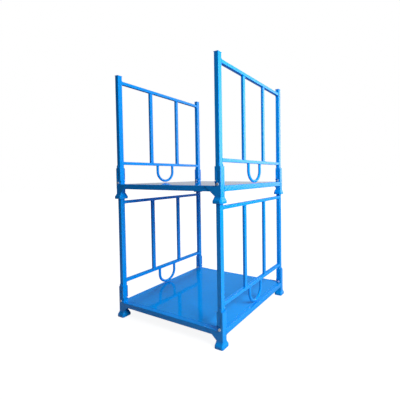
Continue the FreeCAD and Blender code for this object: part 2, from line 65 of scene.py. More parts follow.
# Details of the mesh that follow no setting, in metres
TAB_RISE = 0.034
HEAD_HEIGHT = 0.010
LONGEST_NUT = 0.030
WASHER_FACE = 0.475  # radius of a washer face, as a share of the width across flats
THREAD_LEAD = 0.012
THREAD_PITCH = 0.002
THREAD_ROOT = 0.0011
THREAD_CREST = 0.0001
THREAD_TIP = 0.0015
NUT_BORE = 0.0003
SMALLEST_CORNER = 0.0006
FLOOR_SIZE = 60
LATHE_SIDES = 40
HEXAGON_SIDES = 48
CORNER_EXCESS = 0.1547  # how far a hexagon's corner stands past its flat, as a share of the flat
MERGE_DISTANCE = 1e-6
CUP_LIP_RISE = 0.001
CUP_CORNER_STEPS = 7

# Where the world is brighter in reflections: beside the gates' outer faces, and before the front corners
SIDE_PANEL = Vector((0.55, 0.83, 0.12)).normalized()
FRONT_PANEL = Vector((0.60, -0.76, 0.82)).normalized()


def length(name, description, default):
    """A property for a size in metres."""
    return bpy.props.FloatProperty(name=name, description=description, default=default, unit="LENGTH",
                                   precision=5)


def share(name, description, default):
    """A property for a share between 0 and 1."""
    return bpy.props.FloatProperty(name=name, description=description, default=default, min=0, max=1)


def colour(name, description, default):
    """A property for a linear colour."""
    return bpy.props.FloatVectorProperty(name=name, description=description, default=default, size=3,
                                         subtype="COLOR", min=0, max=1)


class RackSizes(bpy.types.PropertyGroup):
    """Sizes of what the dressing adds to the frame's boxes"""
    beam_wall: length("Beam wall", "Wall of the deck frame's beams and bearers", 0.003)
    post_wall: length("Post wall", "Wall of a gate post", 0.003)
    rail_wall: length("Rail wall", "Wall of a gate rail", 0.0025)
    bar_wall: length("Bar wall", "Wall of an upright gate bar", 0.002)
    tube_corner: length("Tube corner", "Outer corner radius of a beam or a post", 0.004)
    slim_corner: length("Slim tube corner", "Outer corner radius of a rail or a bar", 0.003)
    deck_reach: length("Deck reach", "How far the deck sheet reaches into the seam round it", 0.0013)
    plate_edge: length("Plate edge", "Rounding of the edges of cut and bent plate", 0.0012)
    cup_corner: length("Cup corner", "Corner radius of a foot cup's skirt", 0.018)
    cup_neck_corner: length("Cup neck corner", "Corner radius of a foot cup at its column", 0.008)
    cup_wall: length("Cup wall", "Thickness of a foot cup's rolled lip", 0.0055)
    cup_collar: length("Cup collar", "How far a foot cup stands out round its column", 0.003)
    cup_hollow: length("Cup hollow", "Depth of a foot cup's socket", 0.0353)
    cup_ceiling: length("Cup ceiling", "Half width of the socket's ceiling", 0.034)
    tab_flare: length("Tab flare", "Lean of the lead-in tabs at the top of the columns", 0.005)
    weld_leg: length("Weld leg", "Half width of a weld bead", 0.0042)
    weld_pitch: length("Weld pitch", "Distance between the ripples of a bead", 0.0045)
    bolt_chamfer: length("Hexagon chamfer", "Depth of the chamfer on heads and nuts", 0.0018)
    washer_rise: length("Washer face", "Thickness of the washer face under a head", 0.0008)


class RackFinish(bpy.types.PropertyGroup):
    """Colours and roughness of the surfaces"""
    paint: colour("Paint", "Blue powder coat", (0.001, 0.275, 0.80))
    deck_paint: colour("Deck paint", "Powder coat on the deck sheet", (0.001, 0.295, 0.80))
    zinc: colour("Zinc", "Bright zinc plate", (0.80, 0.82, 0.84))
    floor: colour("Floor", "Pale studio floor", (0.4, 0.4, 0.4))
    paint_roughness: share("Paint roughness", "Roughness of the powder coat", 0.3)
    deck_roughness: share("Deck roughness", "Roughness of the coated sheet", 0.07)
    zinc_roughness: share("Zinc roughness", "Roughness of the zinc plate", 0.34)


class RackStudio(bpy.types.PropertyGroup):
    """Camera and light"""
    camera_place: bpy.props.FloatVectorProperty(
        name="Camera place", description="Where the camera stands", size=3, subtype="TRANSLATION",
        default=(2.3412, -2.7025, 1.6589))
    camera_turn: bpy.props.FloatVectorProperty(
        name="Camera turn", description="Turn to the left, tilt down and roll", size=3, subtype="EULER",
        default=(0.4397, 0.0306, -0.0069))
    lens: bpy.props.FloatProperty(name="Lens", description="Focal length in millimetres", default=24.5)
    shift: bpy.props.FloatVectorProperty(
        name="Shift", description="Lens shift as a share of the frame", size=2, default=(-0.2064, -0.0449))
    key_place: bpy.props.FloatVectorProperty(
        name="Key place", description="Middle of the large soft key light", size=3, subtype="TRANSLATION",
        default=(4.6, -1.0, 3.2))
    key_strength: bpy.props.FloatProperty(name="Key", description="Power of the key light in watts",
                                          default=350.0)
    fill_strength: bpy.props.FloatProperty(name="Fill", description="Light from all round", default=0.135)
    back_place: bpy.props.FloatVectorProperty(
        name="Back place", description="Middle of the light from behind", size=3, subtype="TRANSLATION",
        default=(-2.2, 3.6, 3.4))
    back_strength: bpy.props.FloatProperty(name="Back", description="Power of the light from behind in watts",
                                           default=165.0)


# Shader expressions

class Wire:
    """An output socket that can be used in Python expressions."""

    def __init__(self, tree, socket):
        self.tree = tree
        self.socket = socket

    def _maths(self, operation, *values):
        return self.tree.add("ShaderNodeMath", {"operation": operation}, *values)

    def __add__(self, other):
        return self._maths("ADD", self, other)

    __radd__ = __add__

    def __mul__(self, other):
        return self._maths("MULTIPLY", self, other)

    __rmul__ = __mul__

    def __sub__(self, other):
        return self._maths("SUBTRACT", self, other)

    def __rsub__(self, other):
        return self._maths("SUBTRACT", other, self)

    def __truediv__(self, other):
        return self._maths("DIVIDE", self, other)

    def clamped(self):
        return self.tree.add("ShaderNodeClamp", {}, self)


class NodeTree:
    """Adds nodes to a shader tree, one call for each."""

    def __init__(self, tree):
        self.tree = tree
        tree.nodes.clear()

    def add(self, kind, settings=None, *values, output=0, **named):
        """A node with its settings, then its inputs by place or by name. Gives one of its outputs."""
        node = self.tree.nodes.new(kind)
        for key, setting in (settings or {}).items():
            if key == "ramp":
                self._fill_ramp(node.color_ramp, setting)
            else:
                setattr(node, key, setting)
        for place, given in enumerate(values):
            self.join(given, node.inputs[place])
        for name, given in named.items():
            self.join(given, node.inputs[name.replace("_", " ")])
        if not node.outputs:
            return node
        return Wire(self, node.outputs[output])

    def join(self, given, socket):
        if isinstance(given, Wire):
            self.tree.links.new(given.socket, socket)
        elif given is not None:
            socket.default_value = given

    @staticmethod
    def _fill_ramp(ramp, stops):
        while len(ramp.elements) < len(stops):
            ramp.elements.new(0.5)
        for element, (position, tone) in zip(ramp.elements, stops):
            element.position = position
            element.color = (*tone, 1.0)

    def mixed(self, factor, first, second):
        """One colour or vector fading into another."""
        node = self.tree.nodes.new("ShaderNodeMix")
        node.data_type = "RGBA"
        self.join(factor, node.inputs[0])
        for given, place in ((first, 6), (second, 7)):
            given = given if isinstance(given, Wire) else (*given, 1.0)
            self.join(given, node.inputs[place])
        return Wire(self, node.outputs[2])

    def dot(self, first, second):
        return self.add("ShaderNodeVectorMath", {"operation": "DOT_PRODUCT"}, first, second, output=1)

    def noise(self, where, scale, detail=2.0, rough=0.5):
        return self.add("ShaderNodeTexNoise", {"noise_dimensions": "3D"}, Vector=where, Scale=scale,
                        Detail=detail, Roughness=rough)


def new_material(name):
    material = bpy.data.materials.new(name)
    material.use_nodes = True
    return material, NodeTree(material.node_tree)


def scaled(tone, factor):
    return tuple(min(1.0, part * factor) for part in tone)


def make_paint(name, tone, roughness, coat, peel_depth, wave_depth, dust):
    """Glossy powder coat: orange peel, faint clouding, thin paint on edges and a little dust on top."""
    material, tree = new_material(name)
    place = tree.add("ShaderNodeTexCoord", output=3)
    clouds = tree.noise(place, 2.3, 3.0)
    grains = tree.noise(place, 420.0, 2.0)
    peel = tree.noise(place, 190.0, 3.0, 0.6)
    waves = tree.noise(place, 3.1, 1.0)
    normal = tree.add("ShaderNodeNewGeometry", output=1)
    up = tree.add("ShaderNodeSeparateXYZ", {}, tree.add("ShaderNodeTexCoord", output=1), output=2)

    edge_normal = tree.add("ShaderNodeBevel", {"samples": 8}, 0.0035)
    facing = tree.dot(edge_normal, normal)
    edge = ((1.0 - facing) * 7.0).clamped()

    speckle = tree.add("ShaderNodeValToRGB", {"ramp": ((0.50, (0, 0, 0)), (0.72, (1, 1, 1)))},
                       tree.noise(place, 31.0, 6.0, 0.7))
    film = (up.clamped() * speckle * dust).clamped()
    shade = tree.mixed(clouds, scaled(tone, 0.93), scaled(tone, 1.06))
    shade = tree.mixed(edge * 0.3, shade, (tone[0] + 0.03, tone[1] * 1.35, tone[2] * 1.1))
    shade = tree.mixed(film, shade, (0.35, 0.42, 0.50))

    gloss = roughness + (grains - 0.5) * 0.07 + film * 0.35 + edge * 0.08
    height = peel * peel_depth + waves * wave_depth
    bump = tree.add("ShaderNodeBump", {}, Strength=1.0, Distance=1.0, Height=height)
    surface = tree.add("ShaderNodeBsdfPrincipled", {}, Base_Color=shade, Roughness=gloss, Normal=bump,
                       Coat_Weight=coat, Coat_Roughness=0.06, IOR=1.4)
    tree.add("ShaderNodeOutputMaterial", {}, Surface=surface)
    return material


def make_zinc(name, tone, roughness):
    """Bright zinc plate with a fine grain and a faint cloudy cast."""
    material, tree = new_material(name)
    place = tree.add("ShaderNodeTexCoord", output=3)
    cast = tree.noise(place, 70.0, 2.0)
    grain = tree.noise(place, 900.0, 3.0, 0.7)
    shade = tree.mixed(cast, scaled(tone, 0.92), (tone[0] * 1.02, tone[1] * 1.02, tone[2] * 1.0))
    bump = tree.add("ShaderNodeBump", {}, Strength=0.25, Distance=0.0002, Height=grain)
    surface = tree.add("ShaderNodeBsdfPrincipled", {}, Base_Color=shade, Metallic=0.6, Normal=bump,
                       Roughness=roughness + (grain - 0.5) * 0.2)
    tree.add("ShaderNodeOutputMaterial", {}, Surface=surface)
    return material


def make_floor(name, tone):
    """Pale floor that keeps the rack's shadow and fades into the backdrop."""
    material, tree = new_material(name)
    place = tree.add("ShaderNodeTexCoord", output=3)
    reach = tree.add("ShaderNodeVectorMath", {"operation": "LENGTH"}, place, output=1)
    far = ((reach - 3.0) / 6.0).clamped()
    seen = tree.add("ShaderNodeLightPath", output=0)
    speckle = tree.noise(place, 60.0, 3.0)
    shade = tree.mixed(speckle, scaled(tone, 0.98), tone)
    matt = tree.add("ShaderNodeBsdfDiffuse", {}, Color=tree.mixed(seen, shade, (0.95, 0.95, 0.95)))
    glow = tree.add("ShaderNodeEmission", {}, Color=(1, 1, 1, 1), Strength=1.15)
    lift = seen * (0.79 + 0.21 * far)
    surface = tree.add("ShaderNodeMixShader", {}, lift, matt, glow)
    tree.add("ShaderNodeOutputMaterial", {}, Surface=surface)
    return material


MATERIALS = {}


def paint_all():
    """Makes the three materials from the finish settings."""
    finish = bpy.context.scene.rack_finish
    MATERIALS["paint"] = make_paint("blue_powder_coat", tuple(finish.paint), finish.paint_roughness,
                                    coat=0.1, peel_depth=0.00006, wave_depth=0.0, dust=0.02)
    MATERIALS["deck"] = make_paint("deck_powder_coat", tuple(finish.deck_paint), finish.deck_roughness,
                                   coat=0.3, peel_depth=0.00002, wave_depth=0.0022, dust=0.03)
    MATERIALS["zinc"] = make_zinc("zinc_plate", tuple(finish.zinc), finish.zinc_roughness)


# Meshes

def evaluated_mesh(item, name):
    """The item's mesh with its modifiers applied; the item itself is removed."""
    graph = bpy.context.evaluated_depsgraph_get()
    mesh = bpy.data.meshes.new_from_object(item.evaluated_get(graph), depsgraph=graph)
    mesh.name = name
    bpy.data.objects.remove(item)
    return mesh


def placed(name, data):
    """A new object for a mesh, a curve or a light, at the origin."""
    item = bpy.data.objects.new(name, data)
    bpy.context.scene.collection.objects.link(item)
    return item


def finish_mesh(name, mesh, material, body, nodes, smooth_angle=35):
    """Shows a mesh as a piece that rides on a body and stands for CAD nodes.

    Its normals follow the large faces, so that flat sides look flat right up to their round corners.
    """
    mesh.materials.clear()
    mesh.materials.append(MATERIALS[material])
    mesh.shade_smooth()
    mesh.set_sharp_from_angle(angle=math.radians(smooth_angle))
    item = placed(name + "_evened", mesh)
    item.modifiers.new("Normals", "WEIGHTED_NORMAL").keep_sharp = True
    piece = placed(name, evaluated_mesh(item, name))
    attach(piece, body)
    if nodes:
        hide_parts(*nodes)
    return piece


def dress_node(node, mesh, body, material="paint", smooth_angle=35):
    """Shows a mesh in place of one CAD node."""
    finish_mesh(node + "_dressed", mesh, material, body, (node,), smooth_angle)


def islands_of(node):
    """The lowest and highest corner of each separate solid in a CAD node."""
    mesh = bmesh.new()
    mesh.from_mesh(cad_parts[node].data)
    bmesh.ops.remove_doubles(mesh, verts=mesh.verts, dist=MERGE_DISTANCE)
    boxes = []
    seen = set()
    for start in mesh.verts:
        if start in seen:
            continue
        seen.add(start)
        waiting = [start]
        low = start.co.copy()
        high = start.co.copy()
        while waiting:
            vertex = waiting.pop()
            low = Vector(map(min, low, vertex.co))
            high = Vector(map(max, high, vertex.co))
            for edge in vertex.link_edges:
                other = edge.other_vert(vertex)
                if other not in seen:
                    seen.add(other)
                    waiting.append(other)
        boxes.append((low, high))
    mesh.free()
    return sorted(boxes, key=lambda box: tuple(box[0]))


def rounded_outline(half_u, half_v, corner, steps=5):
    """Points round a rectangle with round corners."""
    points = []
    for number, (side_u, side_v) in enumerate(((1, 1), (-1, 1), (-1, -1), (1, -1))):
        for step in range(steps + 1):
            turn = math.radians(90 * (number + step / steps))
            points.append((side_u * (half_u - corner) + corner * math.cos(turn),
                           side_v * (half_v - corner) + corner * math.sin(turn)))
    return points


def bridge(mesh, rings):
    """Joins each ring to the next with a band of faces, and gives the faces."""
    made = []
    for first, second in zip(rings, rings[1:]):
        for i in range(len(first)):
            j = (i + 1) % len(first)
            made.append(mesh.faces.new((first[i], first[j], second[j], second[i])))
    return made


def round_ring(mesh, radius, place, sides):
    """A ring of points round the Y axis."""
    ring = []
    for i in range(sides):
        turn = 2 * math.pi * i / sides
        ring.append(mesh.verts.new((radius * math.cos(turn), place, radius * math.sin(turn))))
    return ring


def mesh_from(work, name):
    """Turns a bmesh into a mesh, and frees it."""
    mesh = bpy.data.meshes.new(name)
    work.to_mesh(mesh)
    work.free()
    return mesh


def add_tube(mesh, low, high, axis, wall, corner):
    """Adds a hollow square tube with round corners that fills a box along one axis."""
    across = [i for i in range(3) if i != axis]
    middle = (low + high) / 2
    half = (high - low) / 2
    rings = []
    for inset in (0.0, wall):
        outline = rounded_outline(half[across[0]] - inset, half[across[1]] - inset,
                                  max(corner - inset, SMALLEST_CORNER))
        for end in (low[axis], high[axis]):
            ring = []
            for u, v in outline:
                point = Vector((0, 0, 0))
                point[axis] = end
                point[across[0]] = middle[across[0]] + u
                point[across[1]] = middle[across[1]] + v
                ring.append(mesh.verts.new(point))
            rings.append(ring)
    outer_low, outer_high, inner_low, inner_high = rings
    made = bridge(mesh, (outer_low, outer_high))
    made += bridge(mesh, (inner_high, inner_low, outer_low))
    made += bridge(mesh, (outer_high, inner_high))
    bmesh.ops.recalc_face_normals(mesh, faces=made)


# Shares of a cup's height where its rolled lip and its upright skirt end, how far the lip draws in as a
# share of the way to the collar, and the number of rings
LIP_END = 0.13
SKIRT_END = 0.32
LIP_ROLL = 0.15
LIP_STEPS = 4
SHOULDER_STEPS = 12


def drawn_in(up):
    """How far a cup has drawn in from its rim to its collar, at a share of its height."""
    if up < LIP_END:
        return LIP_ROLL * (1 - up / LIP_END) ** 3
    rise = max(0.0, (up - SKIRT_END) / (1 - SKIRT_END))
    return rise * rise * (3 - 2 * rise)


def add_cup(mesh, low, high, neck_low, neck_high, sizes):
    """Adds a pressed cup with a rolled lip, an upright skirt and a round shoulder up to its column."""
    middle = (low + high) / 2
    neck = (neck_low + neck_high) / 2
    rim = (high - low) / 2
    collar = (neck_high - neck_low) / 2 + Vector((1, 1, 0)) * sizes.cup_collar
    rings = []

    def ring(z, centre, half_u, half_v, corner):
        rings.append([mesh.verts.new((centre[0] + u, centre[1] + v, z))
                      for u, v in rounded_outline(half_u, half_v, corner, CUP_CORNER_STEPS)])

    ring(low[2] + sizes.cup_hollow, middle, sizes.cup_ceiling, sizes.cup_ceiling, sizes.cup_neck_corner)
    ring(low[2] + CUP_LIP_RISE, middle, rim[0] - sizes.cup_wall, rim[1] - sizes.cup_wall,
         sizes.cup_corner * 0.8)
    heights = [LIP_END * step / LIP_STEPS for step in range(LIP_STEPS)]
    heights += [SKIRT_END + (1 - SKIRT_END) * step / SHOULDER_STEPS for step in range(SHOULDER_STEPS + 1)]
    for up in sorted([*heights, LIP_END]):
        drawn = drawn_in(up)
        half = rim.lerp(collar, drawn)
        ring(low[2] + up * (high[2] - low[2]), middle.lerp(neck, drawn), half[0], half[1],
             sizes.cup_corner + (sizes.cup_neck_corner - sizes.cup_corner) * drawn)
    made = bridge(mesh, rings)
    made += [mesh.faces.new(rings[0]), mesh.faces.new(rings[-1])]
    bmesh.ops.recalc_face_normals(mesh, faces=made)


def tubes_from(node, axis, wall, corner):
    """One mesh with a round-cornered tube for each solid of a CAD node."""
    made = bmesh.new()
    for low, high in islands_of(node):
        add_tube(made, low, high, axis, wall, corner)
    return mesh_from(made, node + "_dressed")


def softened(node, edge):
    """A CAD node's mesh with its sharp edges rounded."""
    work = bmesh.new()
    work.from_mesh(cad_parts[node].data)
    bmesh.ops.remove_doubles(work, verts=work.verts, dist=MERGE_DISTANCE)
    bmesh.ops.dissolve_limit(work, angle_limit=math.radians(0.5), verts=work.verts, edges=work.edges)
    item = placed(node + "_merged", mesh_from(work, node + "_merged"))
    bevel = item.modifiers.new("Rounding", "BEVEL")
    bevel.width = edge
    bevel.segments = 2
    bevel.limit_method = "ANGLE"
    bevel.angle_limit = math.radians(40)
    bevel.use_clamp_overlap = True
    return evaluated_mesh(item, node + "_dressed")


# Geometry Nodes

class GeometryTree:
    """Builds a Geometry Nodes tree with named inputs."""

    def __init__(self, name, inputs):
        self.tree = bpy.data.node_groups.new(name, "GeometryNodeTree")
        face = self.tree.interface
        face.new_socket("Geometry", in_out="INPUT", socket_type="NodeSocketGeometry")
        face.new_socket("Geometry", in_out="OUTPUT", socket_type="NodeSocketGeometry")
        for title, (kind, default) in inputs.items():
            socket = face.new_socket(title, in_out="INPUT", socket_type=kind)
            if default is not None:
                socket.default_value = default
        self.source = self.tree.nodes.new("NodeGroupInput")
        self.end = self.tree.nodes.new("NodeGroupOutput")

    def input(self, title):
        return self.source.outputs[title]

    def add(self, kind, settings=None, **named):
        node = self.tree.nodes.new(kind)
        for key, setting in (settings or {}).items():
            setattr(node, key, setting)
        for title, given in named.items():
            socket = node.inputs[title.replace("_", " ")]
            if isinstance(given, bpy.types.NodeSocket):
                self.tree.links.new(given, socket)
            else:
                socket.default_value = given
        return node

    def close(self, geometry):
        """Realises, shades and paints the geometry and hands it out."""
        whole = self.add("GeometryNodeRealizeInstances", Geometry=geometry)
        smooth = self.add("GeometryNodeSetShadeSmooth", Geometry=whole.outputs[0])
        painted = self.add("GeometryNodeSetMaterial", Geometry=smooth.outputs[0],
                           Material=self.input("Material"))
        self.tree.links.new(painted.outputs[0], self.end.inputs[0])
        return self.tree


def bent_pipe_tree():
    """A round pipe along a polyline whose corners are bent to one radius."""
    tree = GeometryTree("bent_pipe", {"Bend radius": ("NodeSocketFloat", 0.1),
                                      "Pipe radius": ("NodeSocketFloat", 0.01),
                                      "Material": ("NodeSocketMaterial", None)})
    bends = tree.add("GeometryNodeFilletCurve", {"mode": "POLY"}, Curve=tree.input("Geometry"),
                     Radius=tree.input("Bend radius"), Limit_Radius=True, Count=28)
    ring = tree.add("GeometryNodeCurvePrimitiveCircle", Resolution=28, Radius=tree.input("Pipe radius"))
    pipe = tree.add("GeometryNodeCurveToMesh", Curve=bends.outputs[0], Profile_Curve=ring.outputs[0],
                    Fill_Caps=True)
    return tree.close(pipe.outputs[0])


def weld_tree():
    """Overlapping ripples of a weld bead along every given curve."""
    tree = GeometryTree("weld_bead", {"Pitch": ("NodeSocketFloat", 0.005),
                                      "Leg": ("NodeSocketFloat", 0.004),
                                      "Seed": ("NodeSocketInt", 7),
                                      "Material": ("NodeSocketMaterial", None)})
    steps = tree.add("GeometryNodeResampleCurve", {"mode": "LENGTH"}, Curve=tree.input("Geometry"),
                     Length=tree.input("Pitch"))
    along = tree.add("GeometryNodeInputTangent")
    turn = tree.add("FunctionNodeAlignRotationToVector", {"axis": "Z"}, Vector=along.outputs[0])
    ripple = tree.add("GeometryNodeMeshUVSphere", Segments=8, Rings=5, Radius=tree.input("Leg"))
    wobble = tree.add("FunctionNodeRandomValue", {"data_type": "FLOAT"}, Seed=tree.input("Seed"))
    wobble.inputs[2].default_value = 0.86
    wobble.inputs[3].default_value = 1.12
    beads = tree.add("GeometryNodeInstanceOnPoints", Points=steps.outputs[0], Instance=ripple.outputs[0],
                     Rotation=turn.outputs[0], Scale=wobble.outputs[1])
    return tree.close(beads.outputs[0])


def copies_tree():
    """A copy of one master mesh at every given point."""
    tree = GeometryTree("fastener_copies", {"Master": ("NodeSocketObject", None),
                                            "Material": ("NodeSocketMaterial", None)})
    master = tree.add("GeometryNodeObjectInfo", Object=tree.input("Master"))
    points = tree.add("GeometryNodeMeshToPoints", Mesh=tree.input("Geometry"))
    copies = tree.add("GeometryNodeInstanceOnPoints", Points=points.outputs[0],
                      Instance=master.outputs["Geometry"])
    return tree.close(copies.outputs[0])


MAKERS = {"pipe": bent_pipe_tree, "weld": weld_tree, "copies": copies_tree}
TREES = {}


def grown(name, item, tree, **inputs):
    """Runs a Geometry Nodes tree on an item and gives the resulting mesh."""
    if tree not in TREES:
        TREES[tree] = MAKERS[tree]()
    modifier = item.modifiers.new(tree, "NODES")
    modifier.node_group = TREES[tree]
    for socket in TREES[tree].interface.items_tree:
        title = socket.name.replace(" ", "_").lower()
        if socket.in_out == "INPUT" and title in inputs:
            modifier[socket.identifier] = inputs[title]
    return evaluated_mesh(item, name)


def curve_through(name, routes):
    """A curve object with one straight-edged spline for each route; closed ones are marked so."""
    curve = bpy.data.curves.new(name, "CURVE")
    curve.dimensions = "3D"
    for points, closed in routes:
        spline = curve.splines.new("POLY")
        spline.points.add(len(points) - 1)
        for spot, point in zip(spline.points, points):
            spot.co = (*point, 1.0)
        spline.use_cyclic_u = closed
    return placed(name, curve)


def seam_round(low, high, axis, at):
    """The closed route of a weld round a tube's end."""
    across = [i for i in range(3) if i != axis]
    points = []
    for u, v in ((0, 0), (1, 0), (1, 1), (0, 1)):
        point = Vector((0, 0, 0))
        point[axis] = at
        point[across[0]] = (low, high)[u][across[0]]
        point[across[1]] = (low, high)[v][across[1]]
        points.append(point)
    return points, True


def circle_round(middle, radius, steps=24):
    """The closed route of a weld round a pipe's upright end."""
    points = []
    for step in range(steps):
        turn = math.radians(360 * step / steps)
        points.append(middle + Vector((radius * math.cos(turn), radius * math.sin(turn), 0)))
    return points, True


def lay_welds(name, body, routes):
    """Lays beads along the routes, as one piece that rides on a body."""
    sizes = bpy.context.scene.rack_sizes
    item = curve_through(name, routes)
    mesh = grown(name, item, "weld", pitch=sizes.weld_pitch, leg=sizes.weld_leg,
                 material=MATERIALS["paint"])
    return finish_mesh(name, mesh, "paint", body, (), 80)


# Operators

class DressStep(bpy.types.Operator):
    """A step that dresses one group of pieces"""
    bl_options = {"REGISTER", "UNDO"}

    def execute(self, context):
        self.dress(context.scene.rack_sizes)
        return {"FINISHED"}


class RACK_OT_deck_frames(DressStep):
    """Beams, bearers and deck sheets"""
    bl_idname = "rack.deck_frames"
    bl_label = "Deck frames"

    def dress(self, sizes):
        for rack in RACKS:
            base = rack + "_base"
            for part, axis in (("front_beam", 0), ("back_beam", 0), ("left_beam", 1), ("right_beam", 1),
                               ("deck_bearers", 1)):
                node = f"{rack}_{part}"
                dress_node(node, tubes_from(node, axis, sizes.beam_wall, sizes.tube_corner), base)
            node = rack + "_deck_sheet"
            mesh = softened(node, sizes.plate_edge / 2)
            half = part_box(node)[1]
            for vertex in mesh.vertices:
                for axis in (0, 1):
                    vertex.co[axis] *= 1.0 + sizes.deck_reach / half[axis]
            dress_node(node, mesh, base, "deck")


class RACK_OT_corners(DressStep):
    """Corner columns, their seats, gussets and foot cups"""
    bl_idname = "rack.corners"
    bl_label = "Corners and feet"

    def dress(self, sizes):
        for rack in RACKS:
            base = rack + "_base"
            plates = [f"{rack}_{end}_{hand}_column" for end in ENDS for hand in HANDS]
            plates += [f"{rack}_post_seats", f"{rack}_corner_gussets"]
            for node in plates:
                mesh = softened(node, sizes.plate_edge)
                if node.endswith("_column"):
                    self.flare_tabs(mesh, node, sizes.tab_flare)
                dress_node(node, mesh, base)
            node = rack + "_foot_cups"
            dress_node(node, self.press_cups(rack, node, sizes), base, smooth_angle=50)

    @staticmethod
    def press_cups(rack, node, sizes):
        """One mesh with the pressed cup under each column."""
        made = bmesh.new()
        cups = islands_of(node)
        for end in ENDS:
            for hand in HANDS:
                neck_low, neck_high = map(Vector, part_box(f"{rack}_{end}_{hand}_column"))
                neck = neck_low + neck_high
                low, high = min(cups, key=lambda cup: (cup[0] + cup[1] - neck).xy.length)
                add_cup(made, low, high, neck_low, neck_high, sizes)
        return mesh_from(made, node + "_dressed")

    @staticmethod
    def flare_tabs(mesh, node, flare):
        """Leans the lead-in tab on each flange of a column away from the gate's post."""
        low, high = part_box(node)
        shoulder = high[2] - TAB_RISE
        middle = (low[1] + high[1]) / 2
        for vertex in mesh.vertices:
            if vertex.co.z > shoulder:
                lean = flare * (vertex.co.z - shoulder) / (high[2] - shoulder)
                vertex.co.y += math.copysign(lean, vertex.co.y - middle)


class RACK_OT_gates(DressStep):
    """Posts, caps, rails, bars and loops of the four gates"""
    bl_idname = "rack.gates"
    bl_label = "Gates"

    def dress(self, sizes):
        for rack in RACKS:
            for hand in HANDS:
                gate = f"{rack}_{hand}"
                body = gate + "_gate"
                tubes = (("front_post", 2, sizes.post_wall, sizes.tube_corner),
                         ("back_post", 2, sizes.post_wall, sizes.tube_corner),
                         ("top_rail", 1, sizes.rail_wall, sizes.slim_corner),
                         ("lower_rail", 1, sizes.rail_wall, sizes.slim_corner),
                         ("bars", 2, sizes.bar_wall, sizes.slim_corner))
                for part, axis, wall, corner in tubes:
                    node = f"{gate}_{part}"
                    dress_node(node, tubes_from(node, axis, wall, corner), body)
                node = gate + "_post_caps"
                dress_node(node, softened(node, sizes.plate_edge), body, smooth_angle=20)
                self.bend_loop(gate + "_loop", body)

    @staticmethod
    def bend_loop(node, body):
        """Bends a gate's pipe loop down from its lower rail."""
        low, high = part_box(node)
        pipe = (high[0] - low[0]) / 2
        x = (low[0] + high[0]) / 2
        reach = (high[1] - low[1]) / 2 - pipe
        middle = (low[1] + high[1]) / 2
        top, bottom = high[2], low[2] + pipe
        corners = [(x, middle - reach, top), (x, middle - reach, bottom), (x, middle + reach, bottom),
                   (x, middle + reach, top)]
        item = curve_through(node + "_route", [(corners, False)])
        mesh = grown(node + "_dressed", item, "pipe", bend_radius=reach, pipe_radius=pipe,
                     material=MATERIALS["paint"])
        dress_node(node, mesh, body, smooth_angle=60)


def add_hexagon(mesh, start, end, across_flats, chamfer, bore, both_ends):
    """A hexagon block along Y with its corners turned off at the outer end, or at both."""
    flat = across_flats / 2
    rims = []
    for place, inwards, turned in ((start, 1, both_ends), (end, -1, True)):
        direction = math.copysign(1, end - start) * inwards
        rim = []
        face = []
        for i in range(HEXAGON_SIDES):
            turn = 2 * math.pi * i / HEXAGON_SIDES
            from_flat = (turn + math.pi / 6) % (math.pi / 3) - math.pi / 6
            radius = flat / math.cos(from_flat)
            drop = (radius - flat) * chamfer / (flat * CORNER_EXCESS) if turned else 0.0
            rim.append(mesh.verts.new((radius * math.cos(turn), place + direction * drop,
                                       radius * math.sin(turn))))
            reach = flat * 0.97 if turned else radius * 0.985
            face.append(mesh.verts.new((reach * math.cos(turn), place, reach * math.sin(turn))))
        rims.append((rim, face))
    loops = [rims[0][1], rims[0][0], rims[1][0], rims[1][1]]
    if bore:
        loops.append(round_ring(mesh, bore, end, HEXAGON_SIDES))
        loops.append(round_ring(mesh, bore, start, HEXAGON_SIDES))
        loops.append(loops[0])
    bridge(mesh, loops)
    if not bore:
        mesh.faces.new(loops[0])
        mesh.faces.new(loops[3])


def add_lathed(mesh, profile):
    """Turns a profile of (radius, place along Y) round the Y axis, closed at both ends."""
    rings = [round_ring(mesh, radius, place, LATHE_SIDES) for radius, place in profile]
    bridge(mesh, rings)
    mesh.faces.new(rings[0])
    mesh.faces.new(rings[-1])


